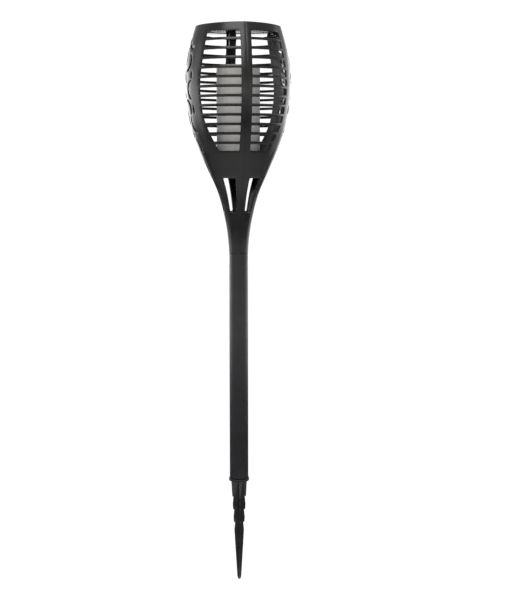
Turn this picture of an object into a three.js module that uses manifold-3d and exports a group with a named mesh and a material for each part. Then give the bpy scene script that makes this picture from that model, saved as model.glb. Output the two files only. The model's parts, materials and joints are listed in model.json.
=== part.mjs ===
// A solar flame torch on a pole with a ground spike.
// Millimetres, +Z up. The origin is on the torch's axis at the soil line, the underside of the spike's
// flange. The front rib of the lantern faces -Y and the scroll panels face -X and +X.
// An azimuth is measured about the axis from -Y towards +X.

import * as THREE from "three";
import { mergeVertices } from "three/addons/utils/BufferGeometryUtils.js";
import Module from "manifold-3d";

const wasm = await Module();
wasm.setup();

// ---------------------------------------------------------------- driving dimensions

const GAP = 0.3; // left between pieces that touch
const AROUND = 40; // sides of the lantern and of what nests in it
const SMALL_AROUND = 24;
const TINY_AROUND = 12;

const POLE_RADIUS = 11;
const POLE_WALL = 1.4;
const POLE_LENGTH = 268;

const SPIKE = {
  flangeRadius: 12,
  flangeThick: 3,
  plugRadius: 9.1,
  plugLength: 22,
  discThick: 1.8,
  discHeights: [11, 23.2],
  ribThick: 2.2,
  bladeLength: 124,
  bladeHalfTop: 9.3,
  bladeHalfTip: 2.4,
  tipLength: 6,
  finThick: 2.4,
  barbHeights: [-20, -36, -52],
  barbDepth: 1.5,
  barbRun: 10,
};

// The head's heights are measured from the shoulder that rests on the pole.
const SPIGOT_RADIUS = 9.3;
const SPIGOT_LENGTH = 25.6;
const CAGE_WALL = 2.2;
const CAGE_OUTLINE = [
  [11, 0],
  [12.4, 18.4],
  [15.7, 39.4],
  [23, 67.4],
  [34.5, 94.4],
  [46, 121.4],
  [55.3, 150.4],
  [60, 190.4],
  [56.4, 224.4],
  [48, 254.4],
];
const RIM_TOP = 254.4;
const SEAM = 0.15; // each half stops this far short of the seam plane

const LEG_COUNT = 6;
const LEG_SLOT_HALF_ANGLE = THREE.MathUtils.degToRad(15);
const LEG_SLOT = [47.9, 86.4];
const LEG_SLOT_REACH = 50;

const SLAT = { rows: 13, firstTop: 245.7, pitch: 10.15, opening: 7.15 };
const SLAT_CUT = [20, 90]; // radii that a slat gap's cut runs between
const RIB_HALF_WIDTH = 6;
// how far round each slat window reaches from the middle of its rib, at each height
const WINDOW_EDGE = [
  [30, 116.4],
  [45, 138.4],
  [54, 158.4],
  [57.5, 190.4],
  [50.5, 228.4],
  [46, 245.4],
];

// openings of the scroll panels: place across the panel and height, length, width, tilt and turn in
// degrees. One off the middle line has a mirrored twin.
const SCROLLS = [
  [0, 238.5, 6, 6, 0, 0],
  [12, 234, 25, 4.4, 62, 150],
  [0, 221, 21, 7, 0, 0],
  [13.5, 213, 28, 4.2, -18, -165],
  [21.5, 200, 9, 4, 4, 0],
  [4.5, 199, 16, 4.4, 14, 60],
  [17, 184, 30, 4.4, -6, 165],
  [0, 178.5, 7, 7, 0, 0],
  [10, 166, 26, 4.4, 32, -150],
  [21.5, 162, 10, 4, -8, 0],
  [0, 154, 19, 6.5, 0, 0],
  [13, 145, 24, 4.2, 22, 140],
  [0, 134.5, 6.5, 6.5, 0, 0],
  [8, 123, 20, 4, 14, -120],
  [0, 99.5, 17, 9, 0, 0],
];
const SCROLL_STEPS = 6;
const SCROLL_CUT = [10, 80]; // distances from the axis that a scroll opening's cut runs between

const CAP_LEDGE = { bottom: 245.7, top: 247.7, inner: 43.2 };
const TRAY_LEDGE = { bottom: 101.9, top: 104.4, inner: 28.5 };

const TRAY_THICK = 5;
const TRAY_BOTTOM = TRAY_LEDGE.top + GAP;
const TRAY_TOP = TRAY_BOTTOM + TRAY_THICK;
const TRAY_SCREW = { circle: 31.5, headRadius: 2.6, headHeight: 1.8, shank: 1.2, hole: 1.5, length: 14 };
const TRAY_SCREW_AZIMUTHS = [45, 135, 225, 315].map(THREE.MathUtils.degToRad);
const BOSS_RADIUS = 3;
const BOSS_LENGTH = 8;
// the groove under the tray that the lamp lead runs in, with a hole up through the tray at each end
const LEAD_WAY = {
  halfWidth: 1.5,
  inner: 8.6,
  innerHoleEnd: 13.4,
  outerHoleEnd: 28.6,
  outer: 32.6,
  top: 3.5,
};

const DIFFUSER = { radius: 24.6, wall: 1.6, top: 99.7 };
const LID = { thick: 2, skirt: 4, skirtWall: 1.8, clearance: 0.4 };
const LUG = {
  azimuths: [30, 150, 270].map(THREE.MathUtils.degToRad),
  half: THREE.MathUtils.degToRad(8),
  tip: 26.3,
  bottom: 0.8,
  top: 2.8,
};
const SOCKET = { inner: 26.7, outer: 28.4, height: 5, hookBottom: 3.4, hookInner: 25.2 };

const CORE = { radius: 14, inner: 12.4, footRadius: 18, footThick: 2, top: 78.7 };
const BATTERY = { radius: 9.15, length: 65, bottom: 3.5, tipRadius: 3, tipHeight: 1.3 };
const CONTACT_RADIUS = 7;
const SLEEVE = { inner: 14.3, outer: 15.1, bottom: 6, top: 76, rows: 6, columns: 8, chip: 3.2, proud: 1 };
const CONTROL_BOARD = { radius: 13.9, thick: 1.6 };
const SWITCH = { half: 3, height: 3.4, plungerRadius: 1.7, plungerTop: 4.4 };
const SPRING = { radius: 5, wire: 0.5, turns: 4 };

const LEAD_X = 3.4;
const LEAD_RADIUS = 1.2;
const LEAD_OFF_WALL = 1.1;
const LEAD_BESIDE_BATTERY = 10.4;
const LEAD_HOLE = 1.6;
const LEAD_CLIP = { heights: [200, 165, 135], reach: 3.4, thick: 0.8, halfHeight: 2 };
const LEAD_STEPS = 72;

const BUTTON = { radius: 4, flangeRadius: 6.5, flangeThick: 2, stem: 1.5, stemBottom: 86.6, proud: 1.2 };

const CAP = { radius: 45.4, height: 6.4, floorBottom: 0.6, floorTop: 1.8, chamfer: 0.8, base: 2 };
const PANEL = {
  radius: 38.6,
  clearance: 0.4,
  board: [2.1, 3.3],
  cells: [3.6, 4],
  cellsHalf: 26,
  glass: [4.3, 5.9],
};
const CAP_SCREW = { circle: 40.6, headRadius: 2, headHeight: 1, shank: 0.9, hole: 1.2, length: 6.3 };
const CAP_SCREW_HOLE_TOP = 4.4;
const CAP_SCREW_AZIMUTHS = [60, 150, 300].map(THREE.MathUtils.degToRad);
const PIN = { x: 2.2, y: 40.4, radius: 0.8, hole: 1.1 };
const CONTACT_BLOCK = { bottom: 236.4, top: 245.2, halfWidth: 3.8, front: 38.4, back: 47.9 };

// ---------------------------------------------------------------- materials

function plastic(colour, roughness, extra = {}) {
  return new THREE.MeshStandardMaterial({ color: colour, roughness, metalness: 0, ...extra });
}

const BLACK = plastic(0x1b1b1e, 0.42);
const BLACK_POLE = plastic(0x232227, 0.48);
const BLACK_GLOSS = plastic(0x0e0e10, 0.12);
const DARK_GREY = plastic(0x2a2a2d, 0.5);
const FROSTED = plastic(0x8f8c8a, 0.35, { transparent: true, opacity: 0.8 });
const WHITE = plastic(0xd9d7d2, 0.5);
const BOARD = plastic(0x1d4a2c, 0.5);
const LED_STRIP = plastic(0xd8c9a0, 0.45);
const CELL = plastic(0x111a33, 0.25);
const GLASS = plastic(0xdfe6ea, 0.08, { transparent: true, opacity: 0.35 });
const BATTERY_WRAP = plastic(0x2f6f7d, 0.35);
const LEAD = plastic(0x161616, 0.55);
const STEEL = new THREE.MeshStandardMaterial({ color: 0xa7a9ab, roughness: 0.3, metalness: 1 });

// ---------------------------------------------------------------- geometry helpers

// A closed geometry as a manifold-3d solid, with its shared corners merged.
function solidOf(geometry) {
  const bare = geometry.index ? geometry.toNonIndexed() : geometry.clone();
  bare.deleteAttribute("normal");
  bare.deleteAttribute("uv");
  const merged = mergeVertices(bare, 1e-4);
  const corners = merged.index.array;
  const triangles = [];
  for (let i = 0; i < corners.length; i += 3) {
    const [a, b, c] = corners.slice(i, i + 3);
    if (a !== b && b !== c && c !== a) triangles.push(a, b, c);
  }
  return new wasm.Manifold(
    new wasm.Mesh({
      numProp: 3,
      vertProperties: merged.attributes.position.array,
      triVerts: new Uint32Array(triangles),
    }),
  );
}

function geometryOf(solid) {
  const { vertProperties, triVerts } = solid.getMesh();
  const geometry = new THREE.BufferGeometry();
  geometry.setAttribute("position", new THREE.BufferAttribute(vertProperties, 3));
  geometry.setIndex(new THREE.BufferAttribute(triVerts, 1));
  geometry.computeVertexNormals();
  return geometry;
}

const join = (solids) => solids.reduce((sum, solid) => sum.add(solid));
const cutAll = (body, tools) => body.subtract(join(tools));

// The profile, as [radius, height] pairs, runs up the outside and down the inside.
function turned(profile, sides = AROUND) {
  const outline = profile.map(([radius, height]) => new THREE.Vector2(radius, height));
  if (profile[0][0] > 0) outline.push(outline[0].clone());
  return new THREE.LatheGeometry(outline, sides).rotateX(Math.PI / 2);
}

function ring(inner, outer, bottom, top, sides = AROUND) {
  return turned([[outer, bottom], [outer, top], [inner, top], [inner, bottom]], sides);
}

function rod(radius, bottom, top, sides = SMALL_AROUND) {
  return turned([[0, bottom], [radius, bottom], [radius, top], [0, top]], sides);
}

function block(low, high) {
  const size = high.map((value, i) => value - low[i]);
  const middle = high.map((value, i) => (value + low[i]) / 2);
  return new THREE.BoxGeometry(...size).translate(...middle);
}

// The point at a radius and azimuth.
function polar(radius, azimuth) {
  return new THREE.Vector2(radius * Math.sin(azimuth), -radius * Math.cos(azimuth));
}

// A prism over the sector between two azimuths and two radii.
function wedge(inner, outer, from, to, bottom, top) {
  const corners = [polar(inner, from), polar(outer, from), polar(outer, to), polar(inner, to)];
  const prism = new THREE.ExtrudeGeometry(new THREE.Shape(corners), {
    depth: top - bottom,
    bevelEnabled: false,
  });
  return prism.translate(0, 0, bottom);
}

function at(geometry, radius, azimuth) {
  const { x, y } = polar(radius, azimuth);
  return geometry.translate(x, y, 0);
}

function piece(name, shape, material) {
  const geometry = shape.isBufferGeometry ? shape : geometryOf(shape);
  const mesh = new THREE.Mesh(geometry, material);
  mesh.name = name;
  return mesh;
}

function assembly(height, ...members) {
  const group = new THREE.Group();
  group.position.z = height;
  group.add(...members);
  return group;
}

// Pan-head screws, pointing down from a head whose underside is at the given height.
function screws(stem, size, azimuths, height, pointsUp = false) {
  return azimuths.map((azimuth, i) => {
    const geometry = turned([
      [0, -size.length],
      [size.shank, -size.length],
      [size.shank, 0],
      [size.headRadius, 0],
      [size.headRadius, size.headHeight],
      [0, size.headHeight],
    ], TINY_AROUND);
    if (pointsUp) geometry.rotateX(Math.PI);
    const screw = piece(`${stem}_${i + 1}`, at(geometry, size.circle, azimuth), STEEL);
    screw.position.z = height;
    return screw;
  });
}

// ---------------------------------------------------------------- ground spike and pole

// One side of a fin, from the flange down to the tip, with barbs that step in and widen again.
function finEdge() {
  const { bladeHalfTop, bladeHalfTip, bladeLength, tipLength } = SPIKE;
  const straightEnd = -(bladeLength - tipLength);
  const halfAt = (z) => THREE.MathUtils.mapLinear(z, 0, straightEnd, bladeHalfTop, bladeHalfTip);
  const edge = [[bladeHalfTop, 1]];
  for (const z of SPIKE.barbHeights) {
    edge.push([halfAt(z), z], [halfAt(z) - SPIKE.barbDepth, z - 1]);
    edge.push([halfAt(z - SPIKE.barbRun), z - SPIKE.barbRun]);
  }
  edge.push([bladeHalfTip, straightEnd], [bladeHalfTip * 0.5, -bladeLength]);
  return edge;
}

function fin() {
  const right = finEdge();
  const left = right.map(([x, z]) => [-x, z]).reverse();
  const outline = new THREE.Shape([...left, ...right].map(([x, z]) => new THREE.Vector2(x, z)));
  return new THREE.ExtrudeGeometry(outline, { depth: SPIKE.finThick, bevelEnabled: false })
    .translate(0, 0, -SPIKE.finThick / 2)
    .rotateX(Math.PI / 2);
}

function makeSpike() {
  const { flangeThick, plugRadius, plugLength, ribThick, discThick } = SPIKE;
  const plugTop = flangeThick + plugLength;
  const halfRib = ribThick / 2;
  const rib = () => block([-plugRadius + 0.1, -halfRib, 1], [plugRadius - 0.1, halfRib, plugTop]);
  const discs = SPIKE.discHeights.map((z) => solidOf(rod(plugRadius, z, z + discThick)));
  const solid = join([
    solidOf(rod(SPIKE.flangeRadius, 0, flangeThick)),
    solidOf(rib()),
    solidOf(rib().rotateZ(Math.PI / 2)),
    ...discs,
    solidOf(fin()),
    solidOf(fin().rotateZ(Math.PI / 2)),
  ]);
  return piece("ground_spike", solid, BLACK);
}

function makePole() {
  const tube = ring(POLE_RADIUS - POLE_WALL, POLE_RADIUS, 0, POLE_LENGTH, SMALL_AROUND);
  return piece("pole", tube, BLACK_POLE);
}

// ---------------------------------------------------------------- lantern cage

function splineOf(pairs) {
  return new THREE.SplineCurve(pairs.map(([across, height]) => new THREE.Vector2(across, height)));
}

// The value across a curve of [across, height] at one height.
function acrossAt(samples, height) {
  const next = samples.findIndex((point) => point.y >= height);
  if (next <= 0) return samples[next === 0 ? 0 : samples.length - 1].x;
  const low = samples[next - 1];
  const high = samples[next];
  return THREE.MathUtils.mapLinear(height, low.y, high.y, low.x, high.x);
}

const OUTLINE_SAMPLES = splineOf(CAGE_OUTLINE).getPoints(90);
const WINDOW_SAMPLES = splineOf(WINDOW_EDGE).getPoints(40);
const outerRadius = (height) => acrossAt(OUTLINE_SAMPLES, height);
const innerRadius = (height) => outerRadius(height) - CAGE_WALL;

function cageShell() {
  const wall = splineOf(CAGE_OUTLINE).getPoints(13).map(({ x, y }) => [x, y]);
  const bore = SPIGOT_RADIUS - CAGE_WALL + 0.2;
  const profile = [
    [SPIGOT_RADIUS, -SPIGOT_LENGTH],
    [SPIGOT_RADIUS, 0],
    ...wall,
    ...wall.map(([radius, height]) => [radius - CAGE_WALL, height]).reverse(),
    [bore, -2],
    [bore, -SPIGOT_LENGTH],
  ];
  return solidOf(turned(profile));
}

function legSlots() {
  const [bottom, top] = LEG_SLOT;
  return Array.from({ length: LEG_COUNT }, (_, i) => {
    const middle = ((i + 0.5) * 2 * Math.PI) / LEG_COUNT;
    const from = middle - LEG_SLOT_HALF_ANGLE;
    const to = middle + LEG_SLOT_HALF_ANGLE;
    return solidOf(wedge(SPIGOT_RADIUS, LEG_SLOT_REACH, from, to, bottom, top));
  });
}

// The gaps between slats: one on each side of both ribs in every row.
function slatGaps() {
  const gaps = [];
  for (let row = 0; row < SLAT.rows; row++) {
    const top = SLAT.firstTop - row * SLAT.pitch;
    const bottom = top - SLAT.opening;
    const middle = (top + bottom) / 2;
    const from = RIB_HALF_WIDTH / outerRadius(middle);
    const to = acrossAt(WINDOW_SAMPLES, middle) / outerRadius(middle);
    for (const rib of [0, Math.PI]) {
      gaps.push(solidOf(wedge(...SLAT_CUT, rib + from, rib + to, bottom, top)));
      gaps.push(solidOf(wedge(...SLAT_CUT, rib - to, rib - from, bottom, top)));
    }
  }
  return gaps;
}

// The outline of a pointed stroke about the origin along +Y, bent through an angle like a brush curl.
function strokeOutline(length, width, turn) {
  const spine = [new THREE.Vector2()];
  const headings = [];
  for (let i = 0; i <= SCROLL_STEPS; i++) headings.push(turn * (i / SCROLL_STEPS - 0.5));
  for (let i = 0; i < SCROLL_STEPS; i++) {
    const heading = (headings[i] + headings[i + 1]) / 2;
    const step = new THREE.Vector2(Math.sin(heading), Math.cos(heading));
    spine.push(spine[i].clone().addScaledVector(step, length / SCROLL_STEPS));
  }
  const middle = new THREE.Box2().setFromPoints(spine).getCenter(new THREE.Vector2());
  const sides = [1, -1].map((side) =>
    spine.slice(1, -1).map((point, i) => {
      const share = (i + 1) / SCROLL_STEPS;
      const half = (width / 2) * Math.sin(Math.PI * share ** 0.8) ** 0.75;
      const across = new THREE.Vector2(Math.cos(headings[i + 1]), -Math.sin(headings[i + 1]));
      return point.clone().addScaledVector(across, side * half);
    }),
  );
  const outline = [spine[0], ...sides[0], spine[SCROLL_STEPS], ...sides[1].reverse()];
  return outline.map((point) => point.clone().sub(middle));
}

// A stroke's prism from inside one wall out through it, along +X.
function strokePrism(across, height, length, width, tilt, turn) {
  const outline = strokeOutline(length, width, THREE.MathUtils.degToRad(turn));
  const prism = new THREE.ExtrudeGeometry(new THREE.Shape(outline), {
    depth: SCROLL_CUT[1] - SCROLL_CUT[0],
    bevelEnabled: false,
  });
  return prism
    .rotateZ(THREE.MathUtils.degToRad(tilt))
    .translate(across, height, SCROLL_CUT[0])
    .rotateX(Math.PI / 2)
    .rotateZ(Math.PI / 2);
}

function scrollOpenings() {
  const openings = [];
  for (const [across, height, length, width, tilt, turn] of SCROLLS) {
    for (const side of across === 0 ? [1] : [1, -1]) {
      const prism = strokePrism(side * across, height, length, width, side * tilt, side * turn);
      openings.push(solidOf(prism), solidOf(prism.clone().rotateZ(Math.PI)));
    }
  }
  return openings;
}

// Two rings inside the wall: the cap rests on one and the tray is screwed to the other.
function ledges() {
  return [CAP_LEDGE, TRAY_LEDGE].map(({ bottom, top, inner }) => {
    const outer = innerRadius((bottom + top) / 2) + 1;
    return solidOf(ring(inner, outer, bottom, top));
  });
}

function trayBosses() {
  return TRAY_SCREW_AZIMUTHS.map((azimuth) => {
    const boss = rod(BOSS_RADIUS, TRAY_LEDGE.bottom - BOSS_LENGTH, TRAY_LEDGE.bottom + 0.5, TINY_AROUND);
    return solidOf(at(boss, TRAY_SCREW.circle, azimuth));
  });
}

function bossHoles() {
  return TRAY_SCREW_AZIMUTHS.map((azimuth) => {
    const hole = rod(TRAY_SCREW.hole, TRAY_LEDGE.bottom - BOSS_LENGTH - 1, TRAY_TOP + 1, TINY_AROUND);
    return solidOf(at(hole, TRAY_SCREW.circle, azimuth));
  });
}

// Pairs of prongs inside the back rib that hold the lamp lead between them.
function leadClips() {
  const { heights, reach, thick, halfHeight } = LEAD_CLIP;
  const prongs = [];
  for (const height of heights) {
    const wall = innerRadius(height);
    for (const side of [-1, 1]) {
      const near = LEAD_X + side * (LEAD_RADIUS + GAP);
      const far = near + side * thick;
      const low = [Math.min(near, far), wall - reach, height - halfHeight];
      const high = [Math.max(near, far), wall + 1, height + halfHeight];
      prongs.push(solidOf(block(low, high)));
    }
  }
  return prongs;
}

function makeCage() {
  const hollow = cutAll(cageShell(), [...legSlots(), ...slatGaps(), ...scrollOpenings()]);
  const whole = cutAll(join([hollow, ...ledges(), ...trayBosses()]), bossHoles());
  const reach = 2 * CAP.radius; // well past the lantern on every side
  const side = (from, to) => solidOf(block([from, -reach, -reach], [to, reach, RIM_TOP + reach]));
  return [
    piece("cage_left", whole.intersect(side(-reach, -SEAM)), BLACK),
    piece("cage_right", join([whole, ...leadClips()]).intersect(side(SEAM, reach)), BLACK),
  ];
}

// ---------------------------------------------------------------- lamp on its tray

function makeTray() {
  const disc = solidOf(rod(innerRadius(TRAY_BOTTOM) - 0.4, 0, TRAY_THICK, AROUND));
  const wall = solidOf(ring(SOCKET.inner, SOCKET.outer, TRAY_THICK - 0.5, TRAY_THICK + SOCKET.height));
  const hooks = LUG.azimuths.map((azimuth) => {
    const [from, to] = [azimuth - LUG.half, azimuth + LUG.half];
    const bottom = TRAY_THICK + SOCKET.hookBottom;
    const top = TRAY_THICK + SOCKET.height;
    return solidOf(wedge(SOCKET.hookInner, SOCKET.inner + 0.7, from, to, bottom, top));
  });
  const holes = TRAY_SCREW_AZIMUTHS.map((azimuth) =>
    solidOf(at(rod(TRAY_SCREW.hole, -1, TRAY_THICK + 1, TINY_AROUND), TRAY_SCREW.circle, azimuth)),
  );
  const { halfWidth, inner, innerHoleEnd, outerHoleEnd, outer, top } = LEAD_WAY;
  const slot = (from, to, height) =>
    solidOf(block([LEAD_X - halfWidth, from, -1], [LEAD_X + halfWidth, to, height]));
  const leadWay = [
    slot(inner, outer, top),
    slot(outerHoleEnd, outer, TRAY_THICK + 1),
    slot(inner, innerHoleEnd, TRAY_THICK + 1),
  ];
  const solid = cutAll(join([disc, wall, ...hooks]), [...holes, ...leadWay]);
  const tray = piece("tray", solid, DARK_GREY);
  tray.position.z = TRAY_BOTTOM;
  return tray;
}

// The lead's centre line: down the back rib, under the diffuser through the tray, up beside the battery.
function leadRoute() {
  const besideWall = (height) => [innerRadius(height) - LEAD_OFF_WALL - LEAD_RADIUS, height];
  return [
    [45, CONTACT_BLOCK.bottom - GAP],
    [45.6, 222],
    [50, 212],
    ...[200, 185, 165, 150, 135].map(besideWall),
    [41.5, 124],
    [34.5, 116],
    [31, 112],
    [30.6, 109],
    [29.6, 107],
    [27, 106.4],
    [20, 106.4],
    [14, 106.4],
    [11.4, 107.2],
    [10.5, 109.6],
    [LEAD_BESIDE_BATTERY, 114],
    [LEAD_BESIDE_BATTERY, 150],
    [LEAD_BESIDE_BATTERY, TRAY_TOP + CORE.top],
  ].map(([y, height]) => new THREE.Vector3(LEAD_X, y, height));
}

function makeLead() {
  const section = new THREE.Shape();
  section.absarc(0, 0, LEAD_RADIUS, 0, 2 * Math.PI);
  const tube = new THREE.ExtrudeGeometry(section, {
    curveSegments: 4,
    steps: LEAD_STEPS,
    extrudePath: new THREE.CatmullRomCurve3(leadRoute(), false, "centripetal"),
  });
  return piece("lamp_lead", tube, LEAD);
}

function makeCore() {
  const { radius, inner, footRadius, footThick, top } = CORE;
  const body = solidOf(turned([
    [0, GAP],
    [footRadius, GAP],
    [footRadius, GAP + footThick],
    [radius, GAP + footThick],
    [radius, top],
    [inner, top],
    [inner, GAP + footThick],
    [0, GAP + footThick],
  ], SMALL_AROUND));
  const hole = rod(LEAD_HOLE, -1, footThick + 2, TINY_AROUND);
  const leadHole = solidOf(hole.translate(LEAD_X, LEAD_BESIDE_BATTERY, 0));
  return piece("led_core", body.subtract(leadHole), WHITE);
}

function makeSleeve() {
  const { inner, outer, bottom, top, rows, columns, chip, proud } = SLEEVE;
  const parts = [solidOf(ring(inner, outer, bottom, top, SMALL_AROUND))];
  const half = chip / 2;
  for (let row = 0; row < rows; row++) {
    const middle = bottom + ((row + 0.5) * (top - bottom)) / rows;
    for (let column = 0; column < columns; column++) {
      const azimuth = ((column + (row % 2) / 2) * 2 * Math.PI) / columns;
      const led = block([-half, -outer - proud, middle - half], [half, -outer + 0.5, middle + half]);
      parts.push(solidOf(led.rotateZ(azimuth)));
    }
  }
  return piece("led_sleeve", join(parts), LED_STRIP);
}

function makeBattery() {
  const { radius, length, bottom, tipRadius, tipHeight } = BATTERY;
  const can = turned([
    [0, bottom],
    [radius, bottom],
    [radius, bottom + length],
    [tipRadius, bottom + length],
    [tipRadius, bottom + length + tipHeight],
    [0, bottom + length + tipHeight],
  ], SMALL_AROUND);
  return piece("battery", can, BATTERY_WRAP);
}

function makeBatterySpring() {
  const { radius, wire, turns } = SPRING;
  const bottom = BATTERY.bottom + BATTERY.length + BATTERY.tipHeight + GAP + wire;
  const top = CORE.top - wire;
  const steps = turns * TINY_AROUND;
  const points = [];
  for (let i = 0; i <= steps; i++) {
    const angle = (i / TINY_AROUND) * 2 * Math.PI;
    const height = bottom + ((top - bottom) * i) / steps;
    points.push(new THREE.Vector3(radius * Math.cos(angle), radius * Math.sin(angle), height));
  }
  const section = new THREE.Shape();
  section.absarc(0, 0, wire, 0, 2 * Math.PI);
  const coil = new THREE.ExtrudeGeometry(section, {
    curveSegments: 3,
    steps,
    extrudePath: new THREE.CatmullRomCurve3(points),
  });
  return piece("battery_spring", coil, STEEL);
}

function makeTactSwitch() {
  const { half, height, plungerRadius, plungerTop } = SWITCH;
  const bottom = CORE.top + GAP + CONTROL_BOARD.thick + GAP;
  const body = solidOf(block([-half, -half, bottom], [half, half, bottom + height]));
  const plunger = solidOf(rod(plungerRadius, bottom + height - 0.4, bottom + plungerTop, TINY_AROUND));
  return piece("tact_switch", body.add(plunger), DARK_GREY);
}

function makeDiffuser() {
  const { radius, wall, top } = DIFFUSER;
  const tube = solidOf(ring(radius - wall, radius, GAP, top));
  const lugs = LUG.azimuths.map((azimuth) =>
    solidOf(wedge(radius - wall / 2, LUG.tip, azimuth - LUG.half, azimuth + LUG.half, LUG.bottom, LUG.top)),
  );
  return piece("diffuser", join([tube, ...lugs]), FROSTED);
}

function makeLid() {
  const { radius, wall, top } = DIFFUSER;
  const skirtOuter = radius - wall - LID.clearance;
  const hole = BUTTON.radius + LID.clearance;
  const under = top + GAP;
  const lid = turned([
    [skirtOuter, under - LID.skirt],
    [skirtOuter, under],
    [radius, under],
    [radius, under + LID.thick],
    [hole, under + LID.thick],
    [hole, under],
    [skirtOuter - LID.skirtWall, under],
    [skirtOuter - LID.skirtWall, under - LID.skirt],
  ]);
  return piece("diffuser_lid", lid, FROSTED);
}

function makeButton() {
  const flangeTop = DIFFUSER.top;
  const buttonTop = flangeTop + GAP + LID.thick + BUTTON.proud;
  const button = turned([
    [0, BUTTON.stemBottom],
    [BUTTON.stem, BUTTON.stemBottom],
    [BUTTON.stem, flangeTop - BUTTON.flangeThick],
    [BUTTON.flangeRadius, flangeTop - BUTTON.flangeThick],
    [BUTTON.flangeRadius, flangeTop],
    [BUTTON.radius, flangeTop],
    [BUTTON.radius, buttonTop],
    [0, buttonTop],
  ], SMALL_AROUND);
  return piece("power_button", button, DARK_GREY);
}

function makeBatteryContact() {
  const contact = rod(CONTACT_RADIUS, GAP + CORE.footThick + GAP, BATTERY.bottom - GAP, TINY_AROUND);
  return piece("battery_contact", contact, STEEL);
}

function makeControlBoard() {
  const bottom = CORE.top + GAP;
  const board = rod(CONTROL_BOARD.radius, bottom, bottom + CONTROL_BOARD.thick);
  return piece("control_board", board, BOARD);
}

// Heights in the lamp are measured from the top of the tray.
function makeLamp() {
  return assembly(
    TRAY_TOP,
    ...screws("tray_screw", TRAY_SCREW, TRAY_SCREW_AZIMUTHS, GAP),
    makeCore(),
    makeBatteryContact(),
    makeBattery(),
    makeBatterySpring(),
    makeSleeve(),
    makeControlBoard(),
    makeTactSwitch(),
    makeDiffuser(),
    makeLid(),
    makeButton(),
  );
}

// ---------------------------------------------------------------- cap with the solar panel

function capHoles() {
  const screwHoles = CAP_SCREW_AZIMUTHS.map((azimuth) => {
    const hole = rod(CAP_SCREW.hole, -CAP.base - 1, CAP_SCREW_HOLE_TOP, TINY_AROUND);
    return solidOf(at(hole, CAP_SCREW.circle, azimuth));
  });
  const pinHoles = [-PIN.x, PIN.x].map((x) => {
    const hole = rod(PIN.hole, -CAP.base - 1, CAP.floorTop + 1, TINY_AROUND);
    return solidOf(hole.translate(x, PIN.y, 0));
  });
  return [...screwHoles, ...pinHoles];
}

function makeCapHousing() {
  const { radius, height, floorBottom, floorTop, chamfer } = CAP;
  const body = solidOf(turned([
    [0, floorBottom],
    [PANEL.radius, floorBottom],
    [PANEL.radius, 0],
    [radius, 0],
    [radius, height - chamfer],
    [radius - chamfer, height],
    [PANEL.radius, height],
    [PANEL.radius, floorTop],
    [0, floorTop],
  ]));
  return piece("cap_housing", cutAll(body, capHoles()), BLACK);
}

function makeCapBase() {
  const disc = solidOf(rod(CAP_LEDGE.inner - 0.4, -CAP.base, -GAP, AROUND));
  return piece("cap_base", cutAll(disc, capHoles()), BLACK_GLOSS);
}

function makeContactPins(pinBottom) {
  return [-PIN.x, PIN.x].map((x, i) => {
    const pin = piece(`contact_pin_${i + 1}`, rod(PIN.radius, pinBottom, CAP.floorTop, TINY_AROUND), STEEL);
    pin.position.set(x, PIN.y, 0);
    return pin;
  });
}

function makePanel() {
  const radius = PANEL.radius - PANEL.clearance;
  const half = PANEL.cellsHalf;
  const [cellsBottom, cellsTop] = PANEL.cells;
  return [
    piece("panel_board", rod(radius, ...PANEL.board), BOARD),
    piece("solar_cells", block([-half, -half, cellsBottom], [half, half, cellsTop]), CELL),
    piece("panel_glass", rod(radius, ...PANEL.glass), GLASS),
  ];
}

// Heights in the cap are measured from the underside of its housing, just above the ledge.
function makeCap() {
  const height = CAP_LEDGE.top + GAP;
  return assembly(
    height,
    makeCapHousing(),
    makeCapBase(),
    ...screws("cap_screw", CAP_SCREW, CAP_SCREW_AZIMUTHS, -CAP.base - GAP, true),
    ...makeContactPins(CONTACT_BLOCK.top + GAP - height),
    ...makePanel(),
  );
}

// ---------------------------------------------------------------- the torch

function makeContactBlock() {
  const { bottom, top, halfWidth, front, back } = CONTACT_BLOCK;
  return piece("contact_block", block([-halfWidth, front, bottom], [halfWidth, back, top]), DARK_GREY);
}

function makeHead(height) {
  return assembly(height, ...makeCage(), makeContactBlock(), makeLead(), makeTray(), makeLamp(), makeCap());
}

const poleBottom = SPIKE.flangeThick + GAP;
const group = assembly(
  0,
  makeSpike(),
  assembly(poleBottom, makePole()),
  makeHead(poleBottom + POLE_LENGTH + GAP),
);
group.name = "tiki_torch";

export default group;
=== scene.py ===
import json
import math

import bmesh
import bpy
import numpy as np
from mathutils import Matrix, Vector
from mathutils.geometry import delaunay_2d_cdt


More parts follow.
